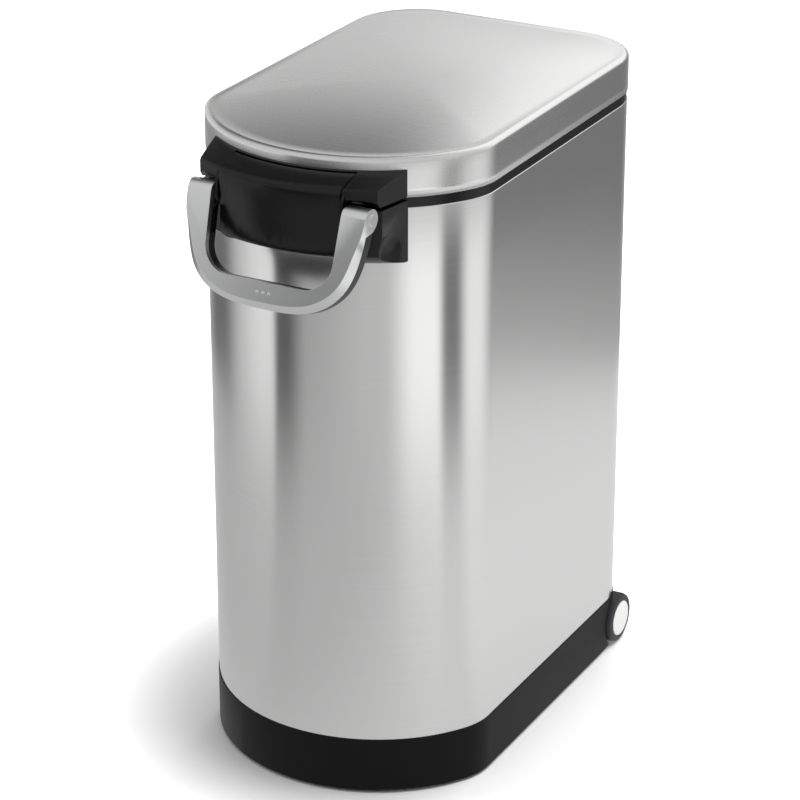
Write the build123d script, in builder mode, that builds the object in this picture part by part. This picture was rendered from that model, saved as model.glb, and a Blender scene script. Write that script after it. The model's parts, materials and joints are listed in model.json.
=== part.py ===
from build123d import *
import math
import os

# A tall steel food bin: a D-shaped can with a bowed front, a hinged lid held by a front latch,
# a swinging handle that works the latch, and two wheels in the rear corners of its base.
# Millimetres, +Z up, +X to the right as seen by a user in front of the bin, front towards -Y.
# The origin is on the floor, under the middle of the whole bin.

# ---- driving dimensions of the can ----
BODY_WIDTH = 292.0
BODY_DEPTH = 450.0
BODY_Y = 22.46
FRONT_RADIUS = 158.6
FRONT_CORNER = 64.0
REAR_CORNER = 71.0

FOOT_HEIGHT = 2.0
BASE_TOP = 58.0
BODY_TOP = 593.5
COLLAR_TOP = 602.5
LID_BOTTOM = 603.2
LID_EDGE_TOP = 640.0
LID_CROWN = 645.6

SHEET = 0.8
SHELL_SEAT = 38.0
LID_GROW = 0.6
BUCKET_INSET = 15.0
BUCKET_WALL = 2.0

FRONT_Y = BODY_Y - BODY_DEPTH / 2
REAR_Y = BODY_Y + BODY_DEPTH / 2
ARC_Y = FRONT_Y + FRONT_RADIUS
CORNER_X = BODY_WIDTH / 2 - FRONT_CORNER
CORNER_Y = ARC_Y - math.sqrt((FRONT_RADIUS - FRONT_CORNER) ** 2 - CORNER_X ** 2)
REAR_X = BODY_WIDTH / 2 - REAR_CORNER
REAR_CORNER_Y = REAR_Y - REAR_CORNER
BOW_AXIS = Axis((0, ARC_Y, 0), (0, 0, 1))

# ---- latch and handle ----
PIVOT_Y = FRONT_Y - 17.0
PIVOT_Z = 596.5
PIVOT_SWEEP = 13.8
PIVOT_ROOM_HALF = 90.9
EAR_INNER = 61.9
EAR_OUTER = 64.8
ARM_SWEEP = 15.2
LATCH_Y = FRONT_Y - 7.0
LATCH_Z = 612.0
LATCH_PIN_RADIUS = 2.0
HANDLE_PIN_RADIUS = 3.0
RUNNING_GAP = 0.05
HANDLE_TILT = 17.5
HANDLE_REF = (0, FRONT_Y - 53.4, 525.0)
SHELL_DEPTH = 6.0
GRIP_BACK = 17.0

# ---- hinge ----
HINGE_Y = REAR_Y + 6.0
HINGE_Z = 600.0
KNUCKLE_RADIUS = 5.0
HINGE_PIN_RADIUS = 2.0
HINGE_HALF = 60.0
SCREW_X = 45.0

# ---- wheels ----
WHEEL_Y = BODY_Y + 183.0
WHEEL_RADIUS = 26.0
WHEEL_Z = 27.0
WHEEL_INNER_X = 134.0
WHEEL_OUTER_X = 150.5
AXLE_RADIUS = 4.0
WELL_RADIUS = WHEEL_RADIUS + 3.0
WELL_INNER_X = WHEEL_INNER_X - 1.5
WELL_LENGTH = 40.0
well_places = [Plane((side * (WELL_INNER_X + WELL_LENGTH / 2), WHEEL_Y, WHEEL_Z), z_dir=(1, 0, 0))
               for side in (-1, 1)]

os.makedirs("parts", exist_ok=True)


def footprint(grow):
    """The bin's outline seen from above, moved outwards by grow: bowed front, rounded corners."""
    lean = math.degrees(math.atan2(CORNER_Y - ARC_Y, CORNER_X))
    half = BODY_WIDTH / 2 + grow
    with BuildSketch() as outline:
        with BuildLine():
            CenterArc((0, ARC_Y), FRONT_RADIUS + grow, -180 - lean, 180 + 2 * lean)
            CenterArc((CORNER_X, CORNER_Y), FRONT_CORNER + grow, lean, -lean)
            Line((half, CORNER_Y), (half, REAR_CORNER_Y))
            CenterArc((REAR_X, REAR_CORNER_Y), REAR_CORNER + grow, 0, 90)
            Line((REAR_X, REAR_Y + grow), (-REAR_X, REAR_Y + grow))
            CenterArc((-REAR_X, REAR_CORNER_Y), REAR_CORNER + grow, 90, 90)
            Line((-half, REAR_CORNER_Y), (-half, CORNER_Y))
            CenterArc((-CORNER_X, CORNER_Y), FRONT_CORNER + grow, 180, -lean)
        make_face()
    return outline.sketch


def bow_section(points):
    """A closed section given as (distance from the bow's axis, height), in the YZ plane."""
    with BuildSketch(Plane.YZ) as section:
        with BuildLine():
            Polyline(*[(ARC_Y - radius, height) for radius, height in points], close=True)
        make_face()
    return section.sketch


def side_section(points):
    """A closed section given as (y, z) points, to be added to a sketch on a YZ plane."""
    with BuildSketch() as section:
        with BuildLine():
            Polyline(*points, close=True)
        make_face()
    return section.sketch


def strip(section, half):
    """A bar with the given side section, reaching half to each side of the bin's middle."""
    with BuildPart() as bar:
        with BuildSketch(Plane.YZ.offset(-half)):
            add(section)
        extrude(amount=2 * half)
    return bar.part


def save(part, name):
    """Label a finished piece and write its STEP file."""
    part.label = name
    export_step(part, f"parts/{name}.step")


# ---- outer can: a seamless steel sleeve ----
outside = footprint(0)
inside_sheet = footprint(-SHEET)
BRACKET_SCREW_X = 80.0
BRACKET_SCREW_Z = 560.0
LID_SCREW_Z = 616.0
HINGE_SCREW_Z = 568.0
LEAF_SCREW_Z = 620.0
SCREW_RADIUS = 2.0
SCREW_TIP = 11.0

with BuildPart() as body_shell:
    with BuildSketch(Plane.XY.offset(SHELL_SEAT)):
        add(outside)
        add(inside_sheet, mode=Mode.SUBTRACT)
    extrude(amount=BODY_TOP - SHELL_SEAT)
    with Locations(*[Plane((x, FRONT_Y, BRACKET_SCREW_Z), z_dir=(0, 1, 0))
                     for x in (-BRACKET_SCREW_X, BRACKET_SCREW_X)]):
        Cylinder(SCREW_RADIUS, 80, mode=Mode.SUBTRACT)
    with Locations(*[Plane((x, REAR_Y, HINGE_SCREW_Z), z_dir=(0, 1, 0)) for x in (-SCREW_X, SCREW_X)]):
        Cylinder(SCREW_RADIUS, 20, mode=Mode.SUBTRACT)
    with Locations(*well_places):
        Cylinder(WELL_RADIUS, WELL_LENGTH, mode=Mode.SUBTRACT)
save(body_shell.part, "body_shell")

# ---- base: a moulded tray that the can stands in, with a well for each wheel ----
BASE_GROW = 0.8
BASE_FLOOR = 6.0
WELL_WALL = 3.5
base_outline = footprint(BASE_GROW)
base_inside = footprint(-5.0)
wheel_spots = [(side * (WELL_INNER_X - WELL_WALL + 30.0), WHEEL_Y) for side in (-1, 1)]

with BuildPart() as base_skirt:
    with BuildSketch(Plane.XY.offset(FOOT_HEIGHT)):
        add(base_outline)
    extrude(amount=BASE_TOP - FOOT_HEIGHT)
    fillet(base_skirt.edges().group_by(Axis.Z)[0], 2.0)
    with BuildSketch(Plane.XY.offset(BASE_FLOOR)):
        add(base_inside)
        with Locations(*wheel_spots):
            Rectangle(60, 2 * WELL_RADIUS + 8.0, mode=Mode.SUBTRACT)
    extrude(amount=BASE_TOP, mode=Mode.SUBTRACT)
    with BuildSketch(Plane.XY.offset(SHELL_SEAT)):
        add(outside)
        add(inside_sheet, mode=Mode.SUBTRACT)
    extrude(amount=BASE_TOP, mode=Mode.SUBTRACT)
    with Locations(*well_places):
        Cylinder(WELL_RADIUS, WELL_LENGTH, mode=Mode.SUBTRACT)
    with Locations(Plane((0, WHEEL_Y, WHEEL_Z), z_dir=(1, 0, 0))):
        Cylinder(AXLE_RADIUS, BODY_WIDTH, mode=Mode.SUBTRACT)
save(base_skirt.part, "base_skirt")

# ---- feet: four rubber pads under the base ----
FOOT_RADIUS = 11.0
FOOT_X = 95.0
FOOT_Y = 130.0
with BuildPart() as foot_pads:
    with BuildSketch():
        with Locations(*[(x, BODY_Y + y) for x in (-FOOT_X, FOOT_X) for y in (-FOOT_Y, FOOT_Y)]):
            Circle(FOOT_RADIUS)
    extrude(amount=FOOT_HEIGHT)
save(foot_pads.part, "foot_pads")

# ---- wheels on one steel axle, each held by a push-on clip under a hub cap ----
AXLE_HALF = 146.0
CLIP_X = 143.3
CLIP_THICK = 1.5
CLIP_RADIUS = 8.0
CLIP_POCKET = 10.5
CLIP_GAP = 0.3
HUB_SEAT_X = 147.5
HUB_RADIUS = 18.5
HUB_THICK = 3.3

with BuildPart() as wheel_axle:
    with BuildSketch(Plane.YZ.offset(-AXLE_HALF)):
        with Locations((WHEEL_Y, WHEEL_Z)):
            Circle(AXLE_RADIUS)
    extrude(amount=2 * AXLE_HALF)
save(wheel_axle.part, "wheel_axle")

with BuildPart() as axle_clips:
    for start in (CLIP_X, -CLIP_X - CLIP_THICK):
        with BuildSketch(Plane.YZ.offset(start)):
            with Locations((WHEEL_Y, WHEEL_Z)):
                Circle(CLIP_RADIUS)
                Circle(AXLE_RADIUS, mode=Mode.SUBTRACT)
        extrude(amount=CLIP_THICK)
save(axle_clips.part, "axle_clips")


def wheel_section(side):
    """Half of a wheel's section: rounded tyre, hub recess and clip pocket, to spin about the axle."""
    profile = [
        (WHEEL_INNER_X, AXLE_RADIUS + RUNNING_GAP), (WHEEL_INNER_X, WHEEL_RADIUS - 3),
        (WHEEL_INNER_X + 3, WHEEL_RADIUS), (WHEEL_OUTER_X - 4, WHEEL_RADIUS),
        (WHEEL_OUTER_X - 1, WHEEL_RADIUS - 1.2), (WHEEL_OUTER_X, WHEEL_RADIUS - 4),
        (WHEEL_OUTER_X, HUB_RADIUS), (HUB_SEAT_X, HUB_RADIUS), (HUB_SEAT_X, CLIP_POCKET),
        (CLIP_X - CLIP_GAP, CLIP_POCKET), (CLIP_X - CLIP_GAP, AXLE_RADIUS + RUNNING_GAP),
    ]
    with BuildSketch(Plane.XZ.offset(-WHEEL_Y)) as section:
        with BuildLine():
            Polyline(*[(side * x, WHEEL_Z + radius) for x, radius in profile], close=True)
        make_face()
    return section.sketch


AXLE_LINE = Axis((0, WHEEL_Y, WHEEL_Z), (1, 0, 0))
for side, word in ((-1, "left"), (1, "right")):
    section = wheel_section(side)
    with BuildPart() as wheel:
        add(section)
        revolve(axis=AXLE_LINE)
    save(wheel.part, f"wheel_{word}")
    with BuildPart() as hub_cap:
        with BuildSketch(Plane.YZ.offset(side * HUB_SEAT_X)):
            with Locations((WHEEL_Y, WHEEL_Z)):
                Circle(HUB_RADIUS)
        extrude(amount=side * HUB_THICK)
        outer_rim = hub_cap.faces().sort_by(Axis.X)[-1 if side > 0 else 0]
        fillet(outer_rim.edges(), 1.0)
    save(hub_cap.part, f"hub_cap_{word}")

# ---- collar: a plastic ring in the top of the can, which carries the bucket ----
COLLAR_BOTTOM = 575.0
collar_lip = footprint(-0.6)
collar_inside = footprint(-14.0)
with BuildPart() as top_collar:
    with BuildSketch(Plane.XY.offset(COLLAR_BOTTOM)):
        add(inside_sheet)
    extrude(amount=BODY_TOP - COLLAR_BOTTOM)
    with BuildSketch(Plane.XY.offset(BODY_TOP)):
        add(collar_lip)
    extrude(amount=COLLAR_TOP - BODY_TOP)
    with BuildSketch(Plane.XY.offset(COLLAR_BOTTOM)):
        add(collar_inside)
    extrude(amount=COLLAR_TOP, mode=Mode.SUBTRACT)
save(top_collar.part, "top_collar")

# ---- bucket: the plastic liner that holds the food, hung by its rim on the collar ----
BUCKET_FLOOR = 64.0
RIM_TOP = COLLAR_TOP + 2.0
bucket_outside = footprint(-BUCKET_INSET)
bucket_inside = footprint(-BUCKET_INSET - BUCKET_WALL)
bucket_rim = footprint(-6.0)
with BuildPart() as inner_bucket:
    with BuildSketch(Plane.XY.offset(BUCKET_FLOOR)):
        add(bucket_outside)
    extrude(amount=COLLAR_TOP - BUCKET_FLOOR)
    with BuildSketch(Plane.XY.offset(COLLAR_TOP)):
        add(bucket_rim)
    extrude(amount=RIM_TOP - COLLAR_TOP)
    with BuildSketch(Plane.XY.offset(BUCKET_FLOOR + BUCKET_WALL)):
        add(bucket_inside)
    extrude(amount=RIM_TOP, mode=Mode.SUBTRACT)
save(inner_bucket.part, "inner_bucket")

# ---- lid: a pressed steel cap with a rolled edge and a low crown ----
EDGE_ROLL = 5.5
CROWN_INSET = 60.0
lid_outline = footprint(LID_GROW)
lid_inside = footprint(LID_GROW - SHEET)
crown_foot = footprint(LID_GROW - EDGE_ROLL)
crown_top = footprint(LID_GROW - CROWN_INSET)

with BuildPart() as lid_hollow:
    with BuildSketch(Plane.XY.offset(LID_BOTTOM)):
        add(lid_inside)
    extrude(amount=LID_EDGE_TOP - SHEET - LID_BOTTOM)
    fillet(lid_hollow.edges().group_by(Axis.Z)[-1], EDGE_ROLL - SHEET)
    with BuildSketch(Plane.XY.offset(LID_EDGE_TOP - SHEET)):
        add(crown_foot)
    with BuildSketch(Plane.XY.offset(LID_CROWN - SHEET)):
        add(crown_top)
    loft(ruled=True)

with BuildPart() as lid_shell:
    with BuildSketch(Plane.XY.offset(LID_BOTTOM)):
        add(lid_outline)
    extrude(amount=LID_EDGE_TOP - LID_BOTTOM)
    fillet(lid_shell.edges().group_by(Axis.Z)[-1], EDGE_ROLL)
    with BuildSketch(Plane.XY.offset(LID_EDGE_TOP)):
        add(crown_foot)
    with BuildSketch(Plane.XY.offset(LID_CROWN)):
        add(crown_top)
    loft(ruled=True)
    add(lid_hollow.part, mode=Mode.SUBTRACT)
    with Locations(*[Plane((x, FRONT_Y, LID_SCREW_Z), z_dir=(0, 1, 0))
                     for x in (-BRACKET_SCREW_X, BRACKET_SCREW_X)]):
        Cylinder(SCREW_RADIUS, 80, mode=Mode.SUBTRACT)
    with Locations(*[Plane((x, REAR_Y, LEAF_SCREW_Z), z_dir=(0, 1, 0)) for x in (-SCREW_X, SCREW_X)]):
        Cylinder(SCREW_RADIUS, 20, mode=Mode.SUBTRACT)
save(lid_shell.part, "lid_shell")

# ---- lid liner and its rubber seal, which closes on the bucket's rim ----
LINER_BOTTOM = 606.0
LINER_THICK = 3.5
SEAL_BOTTOM = RIM_TOP + 0.3
SEAL_DEPTH = 2.0
seal_outside = footprint(-7.0)
seal_inside = footprint(-16.0)
with BuildPart() as lid_liner:
    with BuildSketch(Plane.XY.offset(LINER_BOTTOM)):
        add(lid_inside)
    extrude(amount=LINER_THICK)
    with BuildSketch(Plane.XY.offset(LINER_BOTTOM)):
        add(seal_outside)
        add(seal_inside, mode=Mode.SUBTRACT)
    extrude(amount=SEAL_DEPTH, mode=Mode.SUBTRACT)
save(lid_liner.part, "lid_liner")

with BuildPart() as lid_gasket:
    with BuildSketch(Plane.XY.offset(SEAL_BOTTOM)):
        add(seal_outside)
        add(seal_inside, mode=Mode.SUBTRACT)
    extrude(amount=LINER_BOTTOM + SEAL_DEPTH - SEAL_BOTTOM)
save(lid_gasket.part, "lid_gasket")

# ---- hinge: a body bracket and a lid leaf with knuckles in turn along one pin ----
PLATE_THICK = 3.0
BODY_KNUCKLES = [(-60.0, -40.0), (-12.0, 12.0), (40.0, 60.0)]
LID_KNUCKLES = [(-39.6, -12.4), (12.4, 39.6)]
HINGE_LINE = Plane((0, HINGE_Y, HINGE_Z), z_dir=(1, 0, 0))


def knuckle_row(spans, web):
    """Hinge knuckles over the given spans of x, each joined to its plate by a web."""
    with BuildPart() as row:
        for start, end in spans:
            with BuildSketch(Plane.YZ.offset(start)):
                add(web)
                with Locations((HINGE_Y, HINGE_Z)):
                    Circle(KNUCKLE_RADIUS)
            extrude(amount=end - start)
    return row.part


BRACKET_BOTTOM = 552.0
body_web = side_section([
    (REAR_Y, HINGE_Z - 14), (REAR_Y + PLATE_THICK, HINGE_Z - 14),
    (HINGE_Y + KNUCKLE_RADIUS, HINGE_Z), (REAR_Y + 1.2, HINGE_Z), (REAR_Y, HINGE_Z - 6.5),
])
body_row = knuckle_row(BODY_KNUCKLES, body_web)
with BuildPart() as hinge_bracket:
    with BuildSketch(Plane.XZ.offset(-REAR_Y)):
        with Locations((0, (BRACKET_BOTTOM + HINGE_Z - 7) / 2)):
            RectangleRounded(2 * HINGE_HALF, HINGE_Z - 7 - BRACKET_BOTTOM, 6)
    extrude(amount=-PLATE_THICK)
    add(body_row)
    with Locations(HINGE_LINE):
        Cylinder(HINGE_PIN_RADIUS, 2 * HINGE_HALF + 2, mode=Mode.SUBTRACT)
    with Locations(*[Plane((x, REAR_Y, HINGE_SCREW_Z), z_dir=(0, 1, 0)) for x in (-SCREW_X, SCREW_X)]):
        Cylinder(SCREW_RADIUS, 20, mode=Mode.SUBTRACT)
save(hinge_bracket.part, "hinge_bracket")

LEAF_TOP = 632.0
LEAF_BOTTOM = HINGE_Z + 7.0
LEAF_Y = REAR_Y + LID_GROW
LEAF_THICK = 2.4
lid_web = side_section([
    (LEAF_Y, LEAF_BOTTOM + 6), (LEAF_Y + LEAF_THICK, LEAF_BOTTOM + 6),
    (HINGE_Y + KNUCKLE_RADIUS - 0.4, HINGE_Z + 1.5), (HINGE_Y, HINGE_Z), (LEAF_Y + 0.6, HINGE_Z + 4.5),
])
lid_row = knuckle_row(LID_KNUCKLES, lid_web)
with BuildPart() as lid_hinge_leaf:
    with BuildSketch(Plane.XZ.offset(-LEAF_Y)):
        with Locations((0, (LEAF_BOTTOM + LEAF_TOP) / 2)):
            RectangleRounded(2 * HINGE_HALF, LEAF_TOP - LEAF_BOTTOM, 6)
    extrude(amount=-LEAF_THICK)
    add(lid_row)
    with Locations(HINGE_LINE):
        Cylinder(HINGE_PIN_RADIUS + RUNNING_GAP, 2 * HINGE_HALF, mode=Mode.SUBTRACT)
    with Locations(*[Plane((x, REAR_Y, LEAF_SCREW_Z), z_dir=(0, 1, 0)) for x in (-SCREW_X, SCREW_X)]):
        Cylinder(SCREW_RADIUS, 20, mode=Mode.SUBTRACT)
save(lid_hinge_leaf.part, "lid_hinge_leaf")

with BuildPart() as hinge_pin:
    with Locations(HINGE_LINE):
        Cylinder(HINGE_PIN_RADIUS, 2 * HINGE_HALF)
save(hinge_pin.part, "hinge_pin")

# ---- screws: pan heads with plain shanks, along Y ----
HEAD_RADIUS = 4.0
HEAD_THICK = 2.2
HINGE_SHANK = 9.0
BODY_HEAD_BACK = 28.0
LID_HEAD_BACK = 27.0


def screws(places, head_y, shank, name):
    """Pan-head screws at (x, z) places; the head stands on head_y and the shank runs the other way."""
    outward = 1 if shank < 0 else -1
    with BuildPart() as group:
        with BuildSketch(Plane.XZ.offset(-head_y)):
            with Locations(*places):
                Circle(HEAD_RADIUS)
        extrude(amount=-outward * HEAD_THICK)
        heads = group.faces().filter_by(Axis.Y).group_by(Axis.Y)[-1 if outward > 0 else 0]
        fillet(heads.edges(), 0.9)
        with BuildSketch(Plane.XZ.offset(-head_y)):
            with Locations(*places):
                Circle(SCREW_RADIUS)
        extrude(amount=-shank)
    save(group.part, name)


screws([(-SCREW_X, HINGE_SCREW_Z), (SCREW_X, HINGE_SCREW_Z)], REAR_Y + PLATE_THICK, -HINGE_SHANK,
       "hinge_bracket_screws")
screws([(-SCREW_X, LEAF_SCREW_Z), (SCREW_X, LEAF_SCREW_Z)], LEAF_Y + LEAF_THICK, -HINGE_SHANK,
       "lid_hinge_screws")
screws([(-BRACKET_SCREW_X, BRACKET_SCREW_Z), (BRACKET_SCREW_X, BRACKET_SCREW_Z)],
       FRONT_Y + BODY_HEAD_BACK, SCREW_TIP - BODY_HEAD_BACK, "body_bracket_screws")
screws([(-BRACKET_SCREW_X, LID_SCREW_Z), (BRACKET_SCREW_X, LID_SCREW_Z)],
       FRONT_Y + LID_HEAD_BACK, SCREW_TIP - LID_HEAD_BACK, "lid_bracket_screws")

# ---- latch housing: an upper half on the lid and a lower half on the can ----
CHEEK_HALF_BACK = 101.2
CHEEK_HALF_FRONT = 84.4
cheek_plan = [
    (CHEEK_HALF_BACK, FRONT_Y + 50), (CHEEK_HALF_FRONT, FRONT_Y - 37),
    (-CHEEK_HALF_FRONT, FRONT_Y - 37), (-CHEEK_HALF_BACK, FRONT_Y + 50),
]
PIVOT_LINE = Plane((0, PIVOT_Y, PIVOT_Z), z_dir=(1, 0, 0))
arm_rooms = [Plane((side * (EAR_INNER + PIVOT_ROOM_HALF) / 2, PIVOT_Y, PIVOT_Z), z_dir=(1, 0, 0))
             for side in (-1, 1)]
STRIKE_PAD_Y = FRONT_Y - 11.0
STRIKE_PAD = (34.0, 20.0, 22.0)
STRIKE_SCREW_X = 8.0
STRIKE_SCREW_Z = 590.0
STRIKE_SCREW_RADIUS = 1.5
strike_holes = [Plane((x, STRIKE_PAD_Y, STRIKE_SCREW_Z), z_dir=(0, 1, 0))
                for x in (-STRIKE_SCREW_X, STRIKE_SCREW_X)]
CUTTER_DEPTH = 120.0
PLATE_ROOM_WIDTH = 132.0
PLATE_ROOM_BACK = 7.0
EAR_RADIUS = 8.0

LOWER_FOOT = 543.0
LOWER_TOP = 600.3
LOWER_REACH = 25.4
SCALLOP_TOP = 557.0
SCALLOP_MIDDLE = (FRONT_Y - 13.0, 547.5)
SCOOP_RADIUS = 34.0
SCOOP_X = 122.0
SCOOP_Y = FRONT_Y + 2.5
SCOOP_Z = 560.0
inner_y = FRONT_Y + 8
heel_y = FRONT_Y - 2.5
nose_y = FRONT_Y - LOWER_REACH
with BuildSketch(Plane.YZ) as lower_section:
    with BuildLine():
        Line((inner_y, LOWER_TOP), (inner_y, LOWER_FOOT))
        Line((inner_y, LOWER_FOOT), (heel_y, LOWER_FOOT))
        ThreePointArc((heel_y, LOWER_FOOT), SCALLOP_MIDDLE, (nose_y, SCALLOP_TOP))
        Line((nose_y, SCALLOP_TOP), (nose_y, LOWER_TOP))
        Line((nose_y, LOWER_TOP), (inner_y, LOWER_TOP))
    make_face()
with BuildPart() as body_bracket:
    add(lower_section.sketch)
    revolve(axis=BOW_AXIS)
    with BuildSketch(Plane.XY.offset(540)):
        with BuildLine():
            Polyline(*cheek_plan, close=True)
        make_face()
    extrude(amount=70, mode=Mode.INTERSECT)
    with BuildSketch(Plane.XY.offset(530)):
        with Locations((0, FRONT_Y)):
            Rectangle(PLATE_ROOM_WIDTH, CUTTER_DEPTH)
    extrude(amount=22, mode=Mode.SUBTRACT)
    with BuildSketch(Plane.XY.offset(550)):
        with Locations((0, FRONT_Y)):
            Rectangle(PLATE_ROOM_WIDTH, CUTTER_DEPTH)
        with Locations((0, ARC_Y)):
            Circle(FRONT_RADIUS + PLATE_ROOM_BACK, mode=Mode.SUBTRACT)
    extrude(amount=60, mode=Mode.SUBTRACT)
    with Locations((0, STRIKE_PAD_Y + STRIKE_PAD[1] / 2, 585)):
        Box(*STRIKE_PAD)
    with Locations(PIVOT_LINE):
        Cylinder(PIVOT_SWEEP, 2 * PIVOT_ROOM_HALF, mode=Mode.SUBTRACT)
    with BuildSketch(Plane.XY.offset(530)):
        add(outside)
    extrude(amount=80, mode=Mode.SUBTRACT)
    with Locations((-SCOOP_X, SCOOP_Y, SCOOP_Z), (SCOOP_X, SCOOP_Y, SCOOP_Z)):
        Sphere(SCOOP_RADIUS, mode=Mode.SUBTRACT)
    with Locations(*[Plane((x, FRONT_Y, BRACKET_SCREW_Z), z_dir=(0, 1, 0))
                     for x in (-BRACKET_SCREW_X, BRACKET_SCREW_X)]):
        with Locations((0, 0, SCREW_TIP + 10)):
            Cylinder(SCREW_RADIUS, 20, mode=Mode.SUBTRACT)
    with Locations(*strike_holes):
        Cylinder(STRIKE_SCREW_RADIUS, 14, mode=Mode.SUBTRACT)
save(body_bracket.part, "body_bracket")

LUG_HALF_OUT = 22.0
LUG_HALF_IN = 14.0
SLOT_HALF = 22.4
BLOCK_HALF = 30.0
UPPER_BOTTOM = 604.0
upper_section = bow_section([
    (FRONT_RADIUS - 8, UPPER_BOTTOM), (FRONT_RADIUS + 30.4, UPPER_BOTTOM),
    (FRONT_RADIUS + 30.4, 619.5), (FRONT_RADIUS + 28.6, 621.5), (FRONT_RADIUS - 8, 631.5),
])
ear = side_section([
    (PIVOT_Y - 8, PIVOT_Z), (PIVOT_Y - 7, PIVOT_Z + 14), (PIVOT_Y - 2.5, 618),
    (PIVOT_Y + 12, 618), (PIVOT_Y + 8, PIVOT_Z),
])
with BuildPart() as lid_bracket:
    add(upper_section)
    revolve(axis=BOW_AXIS)
    with BuildSketch(Plane.XY.offset(600)):
        with BuildLine():
            Polyline(*cheek_plan, close=True)
        make_face()
    extrude(amount=40, mode=Mode.INTERSECT)
    with BuildSketch(Plane.XY.offset(618.5)):
        with Locations((0, FRONT_Y)):
            Rectangle(2 * EAR_INNER, CUTTER_DEPTH)
        with Locations((0, ARC_Y)):
            Circle(FRONT_RADIUS + 3.2, mode=Mode.SUBTRACT)
    extrude(amount=30, mode=Mode.SUBTRACT)
    with BuildSketch(Plane.XY.offset(600)):
        with Locations((0, FRONT_Y)):
            Rectangle(2 * EAR_INNER, CUTTER_DEPTH)
        with Locations((0, ARC_Y)):
            Circle(FRONT_RADIUS + 17.4, mode=Mode.SUBTRACT)
    extrude(amount=30, mode=Mode.SUBTRACT)
    with Locations((0, LATCH_Y - 4, LATCH_Z + 2)):
        Box(2 * SLOT_HALF, 19, 15, mode=Mode.SUBTRACT)
    with Locations(PIVOT_LINE):
        Cylinder(PIVOT_SWEEP, 2 * PIVOT_ROOM_HALF, mode=Mode.SUBTRACT)
    with Locations(*arm_rooms):
        Cylinder(ARM_SWEEP, PIVOT_ROOM_HALF - EAR_INNER, mode=Mode.SUBTRACT)
    for start in (EAR_INNER, -EAR_OUTER):
        with BuildSketch(Plane.YZ.offset(start)):
            add(ear)
            with Locations((PIVOT_Y, PIVOT_Z)):
                Circle(EAR_RADIUS)
        extrude(amount=EAR_OUTER - EAR_INNER)
    with Locations(PIVOT_LINE):
        Cylinder(HANDLE_PIN_RADIUS + RUNNING_GAP, 2 * EAR_OUTER + 2, mode=Mode.SUBTRACT)
    with Locations(Plane((0, LATCH_Y, LATCH_Z), z_dir=(1, 0, 0))):
        Cylinder(LATCH_PIN_RADIUS, 2 * BLOCK_HALF, mode=Mode.SUBTRACT)
    with BuildSketch(Plane.XY.offset(600)):
        add(lid_outline)
    extrude(amount=50, mode=Mode.SUBTRACT)
    with Locations(*[Plane((x, FRONT_Y, LID_SCREW_Z), z_dir=(0, 1, 0))
                     for x in (-BRACKET_SCREW_X, BRACKET_SCREW_X)]):
        with Locations((0, 0, SCREW_TIP + 10)):
            Cylinder(SCREW_RADIUS, 20, mode=Mode.SUBTRACT)
save(lid_bracket.part, "lid_bracket")

# ---- latch plate: the bowed cover that swings out on its own pin, with two lugs behind its top ----
PLATE_TOP_HALF = 61.3
PLATE_FOOT_HALF = 64.0
LUG_RADIUS = 5.0
plate_outer = [
    (FRONT_RADIUS + 5.9, 627.6), (FRONT_RADIUS + 24.5, 623.6), (FRONT_RADIUS + 28.6, 622.4),
    (FRONT_RADIUS + 31.4, 620.3), (FRONT_RADIUS + 33.0, 617.2), (FRONT_RADIUS + 33.4, 613.5),
    (FRONT_RADIUS + 32.9, 597.6), (FRONT_RADIUS + 31.4, 577.0), (FRONT_RADIUS + 29.6, 561.5),
    (FRONT_RADIUS + 27.4, 557.2), (FRONT_RADIUS + 23.4, 555.6),
]
plate_inner = [
    (FRONT_RADIUS + 23.4, 558.6), (FRONT_RADIUS + 26.2, 560.6), (FRONT_RADIUS + 28.4, 577.4),
    (FRONT_RADIUS + 29.9, 598.0), (FRONT_RADIUS + 30.4, 613.4), (FRONT_RADIUS + 29.4, 617.2),
    (FRONT_RADIUS + 26.6, 619.6), (FRONT_RADIUS + 5.9, 624.4),
]
plate_section = bow_section(plate_outer + plate_inner)
plate_front = [
    (PLATE_TOP_HALF, 630), (PLATE_TOP_HALF, 584), (PLATE_FOOT_HALF, 562), (PLATE_FOOT_HALF, 550),
    (-PLATE_FOOT_HALF, 550), (-PLATE_FOOT_HALF, 562), (-PLATE_TOP_HALF, 584), (-PLATE_TOP_HALF, 630),
]
lug = side_section([
    (LATCH_Y - LUG_RADIUS, LATCH_Z), (LATCH_Y - LUG_RADIUS, 623.4),
    (LATCH_Y + 2.4, 625.4), (LATCH_Y + LUG_RADIUS, LATCH_Z),
])
with BuildPart() as latch_plate:
    add(plate_section)
    revolve(axis=BOW_AXIS)
    with BuildSketch(Plane.XZ.offset(-FRONT_Y - 60)):
        with BuildLine():
            Polyline(*plate_front, close=True)
        make_face()
    extrude(amount=160, mode=Mode.INTERSECT)
    for start in (LUG_HALF_IN, -LUG_HALF_OUT):
        with BuildSketch(Plane.YZ.offset(start)):
            add(lug)
            with Locations((LATCH_Y, LATCH_Z)):
                Circle(LUG_RADIUS)
        extrude(amount=LUG_HALF_OUT - LUG_HALF_IN)
    with Locations(Plane((0, LATCH_Y, LATCH_Z), z_dir=(1, 0, 0))):
        Cylinder(LATCH_PIN_RADIUS + RUNNING_GAP, 2 * BLOCK_HALF, mode=Mode.SUBTRACT)
save(latch_plate.part, "latch_plate")

with BuildPart() as latch_pin:
    with Locations(Plane((0, LATCH_Y, LATCH_Z), z_dir=(1, 0, 0))):
        Cylinder(LATCH_PIN_RADIUS, 2 * BLOCK_HALF)
save(latch_pin.part, "latch_pin")

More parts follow.
